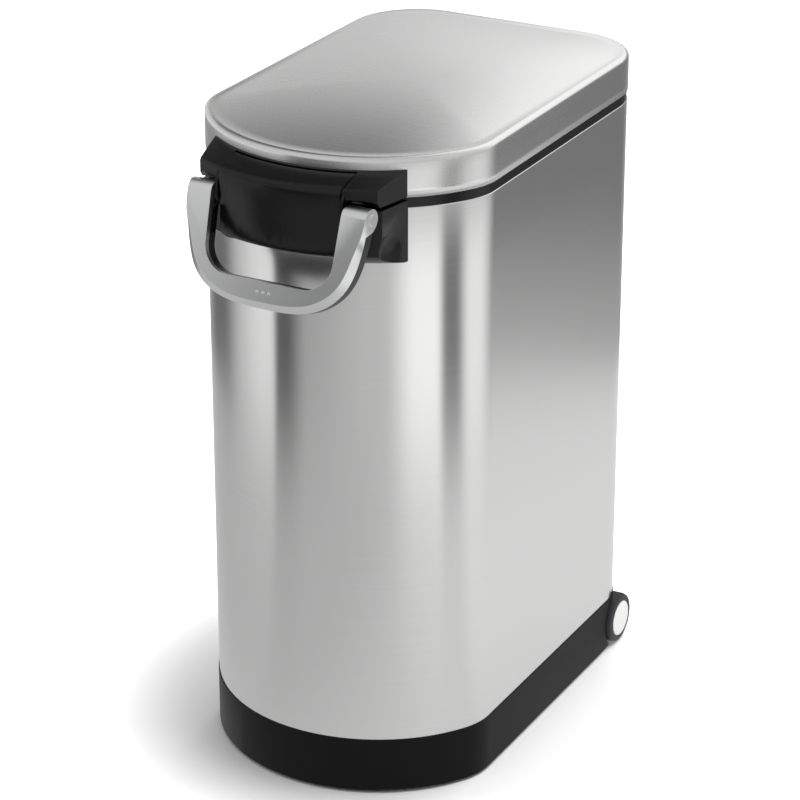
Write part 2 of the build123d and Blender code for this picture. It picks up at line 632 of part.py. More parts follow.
# ---- latch hook behind the plate, and the spring strike that it catches under ----
HOOK_HALF = 11.0
LIP_Z = 577.0
hook_profile = side_section([
    (FRONT_Y - 36, 564), (FRONT_Y - 18, 564), (FRONT_Y - 13.2, 569), (FRONT_Y - 13.2, 573),
    (FRONT_Y - 17.5, LIP_Z - 0.6), (FRONT_Y - 20, LIP_Z - 0.6), (FRONT_Y - 24, 588), (FRONT_Y - 36, 588),
])
plate_shadow = bow_section(plate_inner[1:7] + [(FRONT_RADIUS + 60, 619.6), (FRONT_RADIUS + 60, 560.6)])
with BuildPart() as latch_hook:
    add(strip(hook_profile, HOOK_HALF))
    add(plate_shadow)
    revolve(axis=BOW_AXIS, mode=Mode.SUBTRACT)
save(latch_hook.part, "latch_hook")

STRIKE_HALF = 14.0
STRIKE_HEAD_RADIUS = 2.8
STRIKE_HEAD_THICK = 1.4
strike_profile = side_section([
    (STRIKE_PAD_Y, 595.5), (STRIKE_PAD_Y, 581), (STRIKE_PAD_Y - 5.6, LIP_Z),
    (STRIKE_PAD_Y - 6.2, LIP_Z + 0.8),
    (STRIKE_PAD_Y - 1, 581.6), (STRIKE_PAD_Y - 1, 595.5),
])
with BuildPart() as strike_spring:
    add(strip(strike_profile, STRIKE_HALF))
    with Locations(*strike_holes):
        Cylinder(STRIKE_SCREW_RADIUS, 14, mode=Mode.SUBTRACT)
save(strike_spring.part, "strike_spring")

with BuildPart() as strike_screws:
    with BuildSketch(Plane.XZ.offset(-STRIKE_PAD_Y + 1)):
        with Locations((-STRIKE_SCREW_X, STRIKE_SCREW_Z), (STRIKE_SCREW_X, STRIKE_SCREW_Z)):
            Circle(STRIKE_HEAD_RADIUS)
    extrude(amount=STRIKE_HEAD_THICK)
    with BuildSketch(Plane.XZ.offset(-STRIKE_PAD_Y + 1)):
        with Locations((-STRIKE_SCREW_X, STRIKE_SCREW_Z), (STRIKE_SCREW_X, STRIKE_SCREW_Z)):
            Circle(STRIKE_SCREW_RADIUS)
    extrude(amount=-7)
save(strike_screws.part, "strike_screws")

# ---- leaf spring that keeps the latch plate shut ----
leaf_profile = side_section([
    (FRONT_Y - 17.4, 617.5), (FRONT_Y - 17.4, 608), (FRONT_Y - 29.2, 601), (FRONT_Y - 29.6, 601.6),
    (FRONT_Y - 18.2, 608.6), (FRONT_Y - 18.2, 617.5),
])
latch_spring = strip(leaf_profile, 5.0)
save(latch_spring, "latch_spring")

# ---- handle: a flat steel U, bevelled outside, with a plastic grip behind it ----
TILT = math.radians(HANDLE_TILT)
UP_FACE = (0, math.sin(TILT), math.cos(TILT))
OUT_FACE = (0, -math.cos(TILT), math.sin(TILT))
face_plane = Plane(origin=HANDLE_REF, x_dir=(1, 0, 0), z_dir=OUT_FACE)
side_plane = Plane(origin=HANDLE_REF, x_dir=UP_FACE, z_dir=(-1, 0, 0))
face_edge = [(89.9, 95), (89.9, 79.7), (83.2, 47.2), (71, 15.7), (48.5, -2.1), (0, -8.4)]
back_edge = [(90.4, 95), (90.4, 79.7), (88.2, 47.2), (76.3, 12.0), (51, -8.6), (0, -15.0)]
GAP_TOP_HALF = 66.8
GAP_FOOT_HALF = 63.7
GAP_CORNER = 27.0
GAP_FOOT = 9.4


def u_outline(edge):
    """The handle's outer outline: edge gives its right half, from the top to the middle of the bar."""
    left = [(-x, height) for x, height in reversed(edge[:-1])]
    points = edge + left
    with BuildSketch() as outline:
        with BuildLine():
            Spline(*points[1:-1], tangents=((0, -1), (0, 1)))
            Line(points[0], points[1])
            Line(points[-2], points[-1])
            Line(points[-1], points[0])
        make_face()
    return outline.sketch


def profile_solid(points):
    """A bar along X with the given side profile, as (up the face, back from the face)."""
    with BuildPart() as bar:
        with BuildSketch(side_plane):
            with BuildLine():
                Polyline(*points, close=True)
            make_face()
        extrude(amount=100, both=True)
    return bar.part


front_outline = u_outline(face_edge)
back_outline = u_outline(back_edge)
with BuildSketch() as hand_gap:
    with BuildLine():
        Polyline((GAP_TOP_HALF, 110), (GAP_FOOT_HALF, GAP_FOOT), (-GAP_FOOT_HALF, GAP_FOOT),
                 (-GAP_TOP_HALF, 110), close=True)
    make_face()
    fillet(hand_gap.vertices().group_by(Axis.Y)[0], GAP_CORNER)
gap_face = hand_gap.sketch

shell_side = profile_solid([
    (-30, 0), (80.0, 0), (84.0, 1.2), (87.4, 4.4), (89.4, 9.4), (89.2, 14.5), (87.0, 19.0),
    (83.5, 22.2), (79.2, 23.2), (74.5, 22.0), (69.5, 18.2), (68.4, 17.0), (64.0, SHELL_DEPTH),
    (-30, SHELL_DEPTH),
])
grip_side = profile_solid([(-30, SHELL_DEPTH), (64.0, SHELL_DEPTH), (68.4, GRIP_BACK), (-30, GRIP_BACK)])

with BuildPart() as handle_shell:
    with BuildSketch(face_plane):
        add(front_outline)
    with BuildSketch(face_plane.offset(-SHELL_DEPTH)):
        add(back_outline)
    loft(ruled=True)
    with BuildSketch(face_plane.offset(-SHELL_DEPTH)):
        add(back_outline)
    extrude(amount=-20)
    with BuildSketch(face_plane.offset(5)):
        add(gap_face)
    extrude(amount=-40, mode=Mode.SUBTRACT)
    add(shell_side, mode=Mode.INTERSECT)
    with Locations(PIVOT_LINE):
        Cylinder(HANDLE_PIN_RADIUS, 2 * CHEEK_HALF_BACK, mode=Mode.SUBTRACT)
save(handle_shell.part, "handle_shell")

with BuildPart() as handle_grip:
    with BuildSketch(face_plane.offset(-SHELL_DEPTH)):
        add(back_outline)
    extrude(amount=-20)
    with BuildSketch(face_plane.offset(5)):
        add(gap_face)
    extrude(amount=-40, mode=Mode.SUBTRACT)
    add(grip_side, mode=Mode.INTERSECT)
save(handle_grip.part, "handle_grip")

PIN_HEAD_RADIUS = 5.2
PIN_HEAD_X = 90.4
PIN_HEAD_THICK = 1.6
for side, word in ((-1, "left"), (1, "right")):
    with BuildPart() as handle_pin:
        with BuildSketch(Plane.YZ.offset(side * EAR_INNER)):
            with Locations((PIVOT_Y, PIVOT_Z)):
                Circle(HANDLE_PIN_RADIUS)
        extrude(amount=side * (PIN_HEAD_X - EAR_INNER))
        with BuildSketch(Plane.YZ.offset(side * PIN_HEAD_X)):
            with Locations((PIVOT_Y, PIVOT_Z)):
                Circle(PIN_HEAD_RADIUS)
        extrude(amount=side * PIN_HEAD_THICK)
    save(handle_pin.part, f"handle_pin_{word}")
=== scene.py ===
# %% [markdown]
# A tall steel food bin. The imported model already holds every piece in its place, so this file
# gives each one its finish and the smoothness that a quick solid lacks. The can and the lid are
# drawn again as smooth lofts, and the moulded and cast pieces get softened edges.

# %% Load the frame
import json
import math

import bmesh
import bpy
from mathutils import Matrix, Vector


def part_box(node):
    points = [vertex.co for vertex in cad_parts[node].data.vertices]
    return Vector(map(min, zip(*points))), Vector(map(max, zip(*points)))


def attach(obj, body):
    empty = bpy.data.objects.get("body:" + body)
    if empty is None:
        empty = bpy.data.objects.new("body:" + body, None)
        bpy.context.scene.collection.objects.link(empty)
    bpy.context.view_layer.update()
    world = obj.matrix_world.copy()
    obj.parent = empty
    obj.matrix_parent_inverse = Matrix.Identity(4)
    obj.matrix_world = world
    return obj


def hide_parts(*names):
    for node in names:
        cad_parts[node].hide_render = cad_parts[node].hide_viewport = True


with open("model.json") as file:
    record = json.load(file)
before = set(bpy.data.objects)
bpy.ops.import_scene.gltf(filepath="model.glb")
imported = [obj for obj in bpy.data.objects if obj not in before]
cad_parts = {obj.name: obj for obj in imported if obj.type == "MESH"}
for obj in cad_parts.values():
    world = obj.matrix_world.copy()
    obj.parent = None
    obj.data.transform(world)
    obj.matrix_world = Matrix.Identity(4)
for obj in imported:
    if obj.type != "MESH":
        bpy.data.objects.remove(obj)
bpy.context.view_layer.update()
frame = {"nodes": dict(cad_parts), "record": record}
record = frame["record"]
body_of_node = {node: body for body, nodes in record["behaviour"]["bodies"].items() for node in nodes}
slot_of_node = {row["node"]: row["material_slot"] for row in record["subparts"]}

# %% [markdown]
# Lengths are easier to read in millimetres, and Blender works in metres, so one factor joins them.
# The bin's outline is worked out from the nodes' own boxes: the can gives width and depth.

# %% Main sizes, read from the frame
MM = 0.001
can_low, can_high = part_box("body_shell")
lid_low, lid_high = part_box("lid_shell")
base_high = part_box("base_skirt")[1]
half_width = can_high[0]
front_y = can_low[1]
rear_y = can_high[1]
middle_y = (front_y + rear_y) / 2
print("can is", round(2 * half_width / MM), "mm wide and", round((rear_y - front_y) / MM), "mm deep")

# %% [markdown]
# Seen from above the bin is a D: a wide bow in front, two softer front corners that flow into the
# sides, and two round rear corners. Each stretch is an arc, so an outline moved outwards or inwards
# only changes the radii. Points are spread evenly round the arcs, which keeps reflections clean.

# %% The outline as a formula
FRONT_RADIUS = 158.6 * MM
FRONT_CORNER = 64 * MM
REAR_CORNER = 71 * MM
BOW_STEPS = 96
FRONT_CORNER_STEPS = 24
SIDE_STEPS = 24
REAR_CORNER_STEPS = 32
REAR_STEPS = 12
BOW_Y = front_y + FRONT_RADIUS
CORNER_X = half_width - FRONT_CORNER
CORNER_Y = BOW_Y - math.sqrt((FRONT_RADIUS - FRONT_CORNER) ** 2 - CORNER_X ** 2)
LEAN = math.atan2(CORNER_Y - BOW_Y, CORNER_X)


def arc_points(centre, radius, start, end, steps):
    """Points along an arc, its last point left for the next stretch."""
    turns = [start + (end - start) * step / steps for step in range(steps)]
    return [(centre[0] + radius * math.cos(turn), centre[1] + radius * math.sin(turn)) for turn in turns]


def line_points(start, end, steps):
    """Points along a straight stretch, its last point left for the next one."""
    return [(start[0] + (end[0] - start[0]) * step / steps, start[1] + (end[1] - start[1]) * step / steps)
            for step in range(steps)]


def outline(grow):
    """The bin's outline, grown outwards, anticlockwise from the left end of the bow."""
    half = half_width + grow
    rear_x = half_width - REAR_CORNER
    rear_corner_y = rear_y - REAR_CORNER
    points = arc_points((0, BOW_Y), FRONT_RADIUS + grow, -math.pi - LEAN, LEAN, BOW_STEPS)
    points += arc_points((CORNER_X, CORNER_Y), FRONT_CORNER + grow, LEAN, 0, FRONT_CORNER_STEPS)
    points += line_points((half, CORNER_Y), (half, rear_corner_y), SIDE_STEPS)
    rear_radius = REAR_CORNER + grow
    points += arc_points((rear_x, rear_corner_y), rear_radius, 0, math.pi / 2, REAR_CORNER_STEPS)
    points += line_points((rear_x, rear_y + grow), (-rear_x, rear_y + grow), REAR_STEPS)
    points += arc_points((-rear_x, rear_corner_y), rear_radius, math.pi / 2, math.pi, REAR_CORNER_STEPS)
    points += line_points((-half, rear_corner_y), (-half, CORNER_Y), SIDE_STEPS)
    points += arc_points((-CORNER_X, CORNER_Y), FRONT_CORNER + grow, math.pi, math.pi - LEAN,
                         FRONT_CORNER_STEPS)
    return points


print("outline has", len(outline(0)), "points")

# %% [markdown]
# A loft joins a stack of outlines with quads. Every ring has the same number of points, so ring by
# ring the faces line up, and the surface can be shaded smooth without any facets showing.

# %% A loft of rings
def new_object(name, mesh):
    """An object for a finished mesh, linked to the scene."""
    piece = bpy.data.objects.new(name, mesh)
    bpy.context.collection.objects.link(piece)
    return piece


def loft(name, rings, closed_ring=False, pole=None):
    """A mesh from rings of (x, y, z) points; pole closes the last ring with a fan."""
    bm = bmesh.new()
    rows = [[bm.verts.new(point) for point in ring] for ring in rings]
    pairs = list(zip(rows, rows[1:]))
    if closed_ring:
        pairs.append((rows[-1], rows[0]))
    for low, high in pairs:
        for index in range(len(low)):
            after = (index + 1) % len(low)
            bm.faces.new((low[index], low[after], high[after], high[index]))
    if pole:
        tip = bm.verts.new(pole)
        last = rows[-1]
        for index in range(len(last)):
            bm.faces.new((last[index], last[(index + 1) % len(last)], tip))
    for face in bm.faces:
        face.smooth = True
    mesh = bpy.data.meshes.new(name)
    bm.to_mesh(mesh)
    bm.free()
    return new_object(name, mesh)


def ring(grow, height):
    """The outline as a ring of points at one height."""
    return [(x, y, height) for x, y in outline(grow)]


# %% [markdown]
# ## The can
# The can is one sheet of steel, bent to the outline and rolled over at its top edge. The roll is a
# small half circle, which catches a bright line under the black collar.

# %% Can sleeve with its rolled rim
ROLL = 1.3 * MM
ROLL_STEPS = 12
SLEEVE_FOOT = base_high[2] - 1 * MM
SLEEVE_STEPS = 8
FOOT_BAND = 0.5 * MM
sleeve_top = can_high[2]
roll_rings = [(-ROLL + ROLL * math.cos(turn), sleeve_top - ROLL + ROLL * math.sin(turn))
              for turn in [math.pi * step / ROLL_STEPS for step in range(ROLL_STEPS + 1)]]
sleeve_foot_top = SLEEVE_FOOT + FOOT_BAND
sleeve_heights = [sleeve_foot_top + (sleeve_top - ROLL - sleeve_foot_top) * step / SLEEVE_STEPS
                  for step in range(SLEEVE_STEPS)]
sleeve_rings = [ring(0, height) for height in [SLEEVE_FOOT] + sleeve_heights]
sleeve_rings += [ring(grow, height) for grow, height in roll_rings]
sleeve_rings += [ring(-2 * ROLL, SLEEVE_FOOT)]
can_sleeve = loft("can_sleeve", sleeve_rings, closed_ring=True)
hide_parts("body_shell")
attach(can_sleeve, body_of_node["body_shell"])
print("can sleeve faces", len(can_sleeve.data.polygons))

# %% [markdown]
# ## The lid
# The lid is pressed from one sheet: a straight skirt, a round shoulder, a shallow bead inside the
# shoulder and then a low pillow that rises to the middle. Inside the bead the rings shrink towards
# the middle, so the pillow has no creases.

# %% Lid cap
LID_GROW = lid_high[0] - half_width
SHOULDER = 5.5 * MM
EDGE_TOP = 640 * MM
CROWN_TOP = lid_high[2] - 0.1 * MM
BEAD_INSET = 9.5 * MM
BEAD_DIP = 0.5 * MM
SHEET = 0.8 * MM
SKIRT_STEPS = 4
SHOULDER_STEPS = 12
BEAD_ENTRY = 0.35
CROWN_STEPS = 26
CROWN_FLATNESS = 2.2
skirt_heights = [lid_low[2] + (EDGE_TOP - SHOULDER - lid_low[2]) * step / SKIRT_STEPS
                 for step in range(SKIRT_STEPS + 1)]
lid_rings = [ring(LID_GROW, height) for height in skirt_heights]
for step in range(1, SHOULDER_STEPS + 1):
    turn = math.pi / 2 * step / SHOULDER_STEPS
    inset = SHOULDER * (1 - math.cos(turn))
    lid_rings.append(ring(LID_GROW - inset, EDGE_TOP - SHOULDER + SHOULDER * math.sin(turn)))
lid_rings.append(ring(LID_GROW - (SHOULDER + BEAD_INSET) / 2, EDGE_TOP - BEAD_ENTRY * BEAD_DIP))
bead = ring(LID_GROW - BEAD_INSET, EDGE_TOP - BEAD_DIP)
lid_rings.append(bead)
for step in range(1, CROWN_STEPS):
    share = 1 - step / CROWN_STEPS
    rise = (CROWN_TOP - EDGE_TOP + BEAD_DIP) * (1 - share ** CROWN_FLATNESS)
    lid_rings.append([(x * share, middle_y + (y - middle_y) * share, EDGE_TOP - BEAD_DIP + rise)
                      for x, y, _ in bead])
lid_cap = loft("lid_cap", lid_rings, pole=(0, middle_y, CROWN_TOP))
sheet_wall = lid_cap.modifiers.new("sheet", "SOLIDIFY")
sheet_wall.thickness = SHEET
sheet_wall.offset = -1
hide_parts("lid_shell")
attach(lid_cap, body_of_node["lid_shell"])
print("lid crown rises", round((CROWN_TOP - EDGE_TOP) / MM, 1), "mm")

# %% [markdown]
# ## Moulded, cast and turned pieces
# No real edge is razor sharp: a mould, a die or a tumbling barrel leaves a small radius, and it is
# this radius that catches the light. Each of these pieces starts as a merged copy of its CAD node.
# Flat triangles are joined again, sharp edges get a narrow bevel, and the rest is shaded smooth.

# %% Softened copies
CREASE = math.radians(32)
FLAT = math.radians(0.6)
MERGE = 0.002 * MM


def softened(node, name, radius, segments=3):
    """A copy of a CAD node with rounded edges, which stands for it."""
    mesh = frame["nodes"][node].data.copy()
    mesh.name = name
    bm = bmesh.new()
    bm.from_mesh(mesh)
    bmesh.ops.remove_doubles(bm, verts=bm.verts, dist=MERGE)
    bmesh.ops.dissolve_limit(bm, angle_limit=FLAT, verts=bm.verts, edges=bm.edges)
    for face in bm.faces:
        face.smooth = True
    for edge in bm.edges:
        edge.smooth = edge.calc_face_angle(0) < CREASE
    bm.to_mesh(mesh)
    bm.free()
    mesh.materials.clear()
    piece = new_object(name, mesh)
    bevel = piece.modifiers.new("rounded edges", "BEVEL")
    bevel.width = radius
    bevel.segments = segments
    bevel.limit_method = "ANGLE"
    bevel.angle_limit = CREASE
    bevel.harden_normals = True
    bevel.use_clamp_overlap = True
    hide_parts(node)
    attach(piece, body_of_node[node])
    return piece


SOFT_PIECES = {
    "base_skirt": ("base_tray", 0.6), "body_bracket": ("lower_housing", 1.6),
    "lid_bracket": ("upper_housing", 1.6), "latch_plate": ("latch_cover", 0.8),
    "handle_shell": ("handle_face", 0.6), "handle_grip": ("handle_back", 1.2),
    "top_collar": ("collar_ring", 0.4), "hinge_bracket": ("hinge_plate", 0.4),
    "lid_hinge_leaf": ("hinge_leaf", 0.4), "wheel_left": ("tyre_left", 0.4),
    "wheel_right": ("tyre_right", 0.4), "inner_bucket": ("food_bucket", 0.5),
    "lid_liner": ("liner_panel", 0.5), "foot_pads": ("foot_discs", 0.4), "latch_hook": ("hook_block", 0.4),
}
soft = {node: softened(node, name, radius * MM) for node, (name, radius) in SOFT_PIECES.items()}
print("softened", len(soft), "pieces")

# %% [markdown]
# ## Grip dots
# Three small raised dots mark the middle of the handle's bar, and three more the latch cover's
# brow. A row of equal things is work for Geometry Nodes: a line of points, a dome on each point,
# then the instances made real so that they export.

# %% A dot row tree
DOT_COUNT = 3


def dot_row_tree():
    """Geometry Nodes: a row of low domes along X, with named inputs for count, spacing and radius."""
    tree = bpy.data.node_groups.new("dot row", "GeometryNodeTree")
    face = tree.interface
    face.new_socket("Count", in_out="INPUT", socket_type="NodeSocketInt").default_value = DOT_COUNT
    face.new_socket("Spacing", in_out="INPUT", socket_type="NodeSocketFloat").default_value = 4 * MM
    face.new_socket("Radius", in_out="INPUT", socket_type="NodeSocketFloat").default_value = 1 * MM
    face.new_socket("Finish", in_out="INPUT", socket_type="NodeSocketMaterial")
    face.new_socket("Geometry", in_out="OUTPUT", socket_type="NodeSocketGeometry")
    nodes, links = tree.nodes, tree.links
    given = nodes.new("NodeGroupInput")
    result = nodes.new("NodeGroupOutput")
    row = nodes.new("GeometryNodeMeshLine")
    row.mode = "OFFSET"
    offset = nodes.new("ShaderNodeCombineXYZ")
    dome = nodes.new("GeometryNodeMeshUVSphere")
    dome.inputs["Segments"].default_value = 20
    dome.inputs["Rings"].default_value = 12
    place = nodes.new("GeometryNodeInstanceOnPoints")
    real = nodes.new("GeometryNodeRealizeInstances")
    smooth = nodes.new("GeometryNodeSetShadeSmooth")
    paint = nodes.new("GeometryNodeSetMaterial")
    links.new(given.outputs["Count"], row.inputs["Count"])
    links.new(given.outputs["Spacing"], offset.inputs["X"])
    links.new(offset.outputs[0], row.inputs["Offset"])
    links.new(given.outputs["Radius"], dome.inputs["Radius"])
    links.new(row.outputs[0], place.inputs["Points"])
    links.new(dome.outputs["Mesh"], place.inputs["Instance"])
    links.new(place.outputs[0], real.inputs[0])
    links.new(real.outputs[0], smooth.inputs[0])
    links.new(smooth.outputs[0], paint.inputs["Geometry"])
    links.new(given.outputs["Finish"], paint.inputs["Material"])
    links.new(paint.outputs[0], result.inputs[0])
    return tree


dot_tree = dot_row_tree()
DOT_SQUASH = 0.5


def dot_row(name, node, centre, normal, radius, spacing, finish):
    """Three low domes on a face, centred on a point, flattened along the face's normal."""
    piece = new_object(name, bpy.data.meshes.new(name))
    row = piece.modifiers.new("dots", "NODES")
    row.node_group = dot_tree
    values = {"Count": DOT_COUNT, "Spacing": spacing, "Radius": radius, "Finish": finish}
    for item in dot_tree.interface.items_tree:
        if item.in_out == "INPUT":
            row[item.identifier] = values[item.name]
    bpy.context.view_layer.update()
    made = piece.evaluated_get(bpy.context.evaluated_depsgraph_get())
    mesh = bpy.data.meshes.new_from_object(made)
    piece.modifiers.clear()
    piece.data = mesh
    up = (0, -normal[2], normal[1])
    for vertex in mesh.vertices:
        x, y, z = vertex.co
        vertex.co = [centre[i] + (x - spacing, 0, 0)[i] + y * up[i] + z * DOT_SQUASH * normal[i]
                     for i in range(3)]
    mesh.update()
    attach(piece, body_of_node[node])
    return piece


# %% [markdown]
# ## Finishes
# Brushed steel, satin castings and moulded plastic differ mainly in how finely and in which
# direction their surface is scratched. One group makes a grain: noise stretched along the brushing
# direction. Each material places it with its own scale and adds its own colour and roughness.

# %% Grain group
def grain_group():
    """Noise stretched by a scale vector, given out as a height and as a slower tone variation."""
    group = bpy.data.node_groups.new("grain", "ShaderNodeTree")
    face = group.interface
    stretch = face.new_socket("Stretch", in_out="INPUT", socket_type="NodeSocketVector")
    stretch.default_value = (1, 1, 1)
    face.new_socket("Tone Scale", in_out="INPUT", socket_type="NodeSocketFloat").default_value = 4
    face.new_socket("Height", in_out="OUTPUT", socket_type="NodeSocketFloat")
    face.new_socket("Tone", in_out="OUTPUT", socket_type="NodeSocketFloat")
    nodes, links = group.nodes, group.links
    given = nodes.new("NodeGroupInput")
    result = nodes.new("NodeGroupOutput")
    place = nodes.new("ShaderNodeTexCoord")
    scale = nodes.new("ShaderNodeVectorMath")
    scale.operation = "MULTIPLY"
    fine = nodes.new("ShaderNodeTexNoise")
    fine.inputs["Scale"].default_value = 1
    fine.inputs["Detail"].default_value = 3
    slow = nodes.new("ShaderNodeTexNoise")
    slow.inputs["Detail"].default_value = 2
    links.new(place.outputs["Object"], scale.inputs[0])
    links.new(given.outputs["Stretch"], scale.inputs[1])
    links.new(scale.outputs[0], fine.inputs["Vector"])
    links.new(place.outputs["Object"], slow.inputs["Vector"])
    links.new(given.outputs["Tone Scale"], slow.inputs["Scale"])
    links.new(fine.outputs["Fac"], result.inputs["Height"])
    links.new(slow.outputs["Fac"], result.inputs["Tone"])
    return group


grain = grain_group()
NOISE_LOW = 0.3
NOISE_HIGH = 0.7


def mixed(nodes, links, factor, low, high):
    """A colour or value between low and high, driven by a factor socket."""
    ranger = nodes.new("ShaderNodeMapRange")
    ranger.inputs["From Min"].default_value = NOISE_LOW
    ranger.inputs["From Max"].default_value = NOISE_HIGH
    ranger.inputs["To Min"].default_value = low
    ranger.inputs["To Max"].default_value = high
    links.new(factor, ranger.inputs["Value"])
    return ranger.outputs["Result"]


def finish(name, color, metallic, rough, stretch, bump, tone_scale=4, contrast=0.06, brushed=None,
           anisotropy=0.0, turned=0.0, specular=0.5):
    """A material: colour and roughness vary with the grain, which also raises a fine bump."""
    material = bpy.data.materials.new(name)
    material.use_nodes = True
    nodes, links = material.node_tree.nodes, material.node_tree.links
    shader = nodes["Principled BSDF"]
    shader.inputs["Metallic"].default_value = metallic
    shader.inputs["Specular IOR Level"].default_value = specular
    marks = nodes.new("ShaderNodeGroup")
    marks.node_tree = grain
    marks.inputs["Stretch"].default_value = stretch
    marks.inputs["Tone Scale"].default_value = tone_scale
    both = nodes.new("ShaderNodeMath")
    both.operation = "MULTIPLY_ADD"
    both.inputs[1].default_value = 0.5
    links.new(marks.outputs["Tone"], both.inputs[0])
    half = nodes.new("ShaderNodeMath")
    half.operation = "MULTIPLY"
    half.inputs[1].default_value = 0.5
    links.new(marks.outputs["Height"], half.inputs[0])
    links.new(half.outputs[0], both.inputs[2])
    shade = nodes.new("ShaderNodeMix")
    shade.data_type = "RGBA"
    shade.inputs[6].default_value = [c * (1 - contrast) for c in color] + [1]
    shade.inputs[7].default_value = [min(1, c * (1 + contrast)) for c in color] + [1]
    links.new(mixed(nodes, links, both.outputs[0], 0, 1), shade.inputs[0])
    links.new(shade.outputs[2], shader.inputs["Base Color"])
    links.new(mixed(nodes, links, both.outputs[0], rough[0], rough[1]), shader.inputs["Roughness"])
    relief = nodes.new("ShaderNodeBump")
    relief.inputs["Strength"].default_value = bump[0]
    relief.inputs["Distance"].default_value = bump[1]
    links.new(marks.outputs["Height"], relief.inputs["Height"])
    links.new(relief.outputs["Normal"], shader.inputs["Normal"])
    if anisotropy:
        shader.inputs["Anisotropic"].default_value = anisotropy
        shader.inputs["Anisotropic Rotation"].default_value = turned
        along = nodes.new("ShaderNodeTangent")
        along.direction_type = "RADIAL"
        along.axis = brushed
        links.new(along.outputs[0], shader.inputs["Tangent"])
    return material


# %% The bin's finishes
can_steel = finish("brushed can steel", (0.80, 0.80, 0.795), 1, (0.165, 0.205), (5, 5, 1500),
                   (0.015, 0.0002), tone_scale=3, contrast=0.03, brushed="Z", anisotropy=0.9, turned=0.25)
lid_steel = finish("brushed lid steel", (0.80, 0.80, 0.795), 1, (0.24, 0.29), (5, 900, 900), (0.01, 0.0002),
                   tone_scale=3, contrast=0.02, brushed="X", anisotropy=0.4)
satin_cast = finish("satin cast metal", (0.82, 0.825, 0.83), 1, (0.26, 0.33), (900, 900, 900),
                    (0.05, 0.0002), contrast=0.03)
black_mould = finish("black moulded plastic", (0.0028, 0.0028, 0.0031), 0, (0.22, 0.30),
                     (1400, 1400, 1400), (0.06, 0.0003), contrast=0.15, specular=0.34)
base_mould = finish("black base plastic", (0.003, 0.003, 0.0034), 0, (0.40, 0.50), (1400, 1400, 1400),
                    (0.10, 0.0003), contrast=0.15, specular=0.13)
bucket_mould = finish("grey bucket plastic", (0.16, 0.165, 0.17), 0, (0.4, 0.5), (500, 500, 500),
                      (0.1, 0.0003), contrast=0.08)
seal_rubber = finish("black rubber", (0.022, 0.022, 0.022), 0, (0.6, 0.75), (700, 700, 700), (0.2, 0.0003),
                     contrast=0.15)
wheel_rubber = finish("wheel rubber", (0.016, 0.017, 0.018), 0, (0.42, 0.55), (900, 900, 900),
                      (0.15, 0.0003), contrast=0.12)
cap_plastic = finish("light hub plastic", (0.74, 0.74, 0.73), 0, (0.35, 0.42), (600, 600, 600),
                     (0.05, 0.0002), contrast=0.03)
zinc_steel = finish("zinc plated steel", (0.56, 0.57, 0.58), 1, (0.3, 0.42), (200, 200, 200), (0.08, 0.0002),
                    tone_scale=60, contrast=0.08)
spring_steel = finish("spring steel", (0.42, 0.43, 0.45), 1, (0.22, 0.3), (40, 900, 900), (0.06, 0.0002),
                      contrast=0.06)
finish_of_slot = {
    "brushed_steel": can_steel, "satin_metal": satin_cast, "black_plastic": black_mould,
    "base_plastic": base_mould, "bucket_plastic": bucket_mould, "black_rubber": seal_rubber,
    "wheel_plastic": wheel_rubber, "hub_cap": cap_plastic, "zinc_steel": zinc_steel,
    "spring_steel": spring_steel,
}


def paint(piece, material):
    """The piece's only material."""
    piece.data.materials.clear()
    piece.data.materials.append(material)


paint(can_sleeve, can_steel)
paint(lid_cap, lid_steel)
for node, piece in soft.items():
    paint(piece, finish_of_slot[slot_of_node[node]])
for node, piece in frame["nodes"].items():
    for place in piece.material_slots:
        place.link = "OBJECT"
        place.material = finish_of_slot[slot_of_node[node]]
print("finishes", len(finish_of_slot))

# %% Place the dots
TILT = math.radians(17.5)
BAR_OUT = 53.4 * MM
BAR_HEIGHT = 525 * MM
BAR_DOT = 1.6 * MM
BAR_DOT_SPACING = 6 * MM
BROW_DEPTH = 0.9 * MM
BROW_HEIGHT = 619.2 * MM
BROW_NORMAL = (0, -0.8, 0.6)
BROW_DOT = 0.8 * MM
BROW_DOT_SPACING = 4.2 * MM
bar_normal = (0, -math.cos(TILT), math.sin(TILT))
bar_middle = (0, front_y - BAR_OUT, BAR_HEIGHT)
dot_row("handle_dots", "handle_shell", bar_middle, bar_normal, BAR_DOT, BAR_DOT_SPACING, satin_cast)
brow = (0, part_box("latch_plate")[0][1] + BROW_DEPTH, BROW_HEIGHT)
dot_row("cover_dots", "latch_plate", brow, BROW_NORMAL, BROW_DOT, BROW_DOT_SPACING, black_mould)

# %% [markdown]
# ## The studio
# A white floor under a white sky gives an even light, and a painted glow in the floor, rising away from the
# bin, keeps the floor's shade close round the bin. Steel shows only what it mirrors, so a tent
#  that only mirror rays can see stands round the bin: its wall and floor carry soft light and dark
#  stretches, like the screens and flags of a studio.

# %% Floor, sky and lamps
SKY = 0.56
# Painted floor glow: its emission strength, and the distances from the bin where it starts and where it is
# full.
PAINTED_FLOOR_GLOW = 0.6
PAINTED_GLOW_START = 0.20
PAINTED_GLOW_FULL = 0.36
FLOOR_HALF = 8


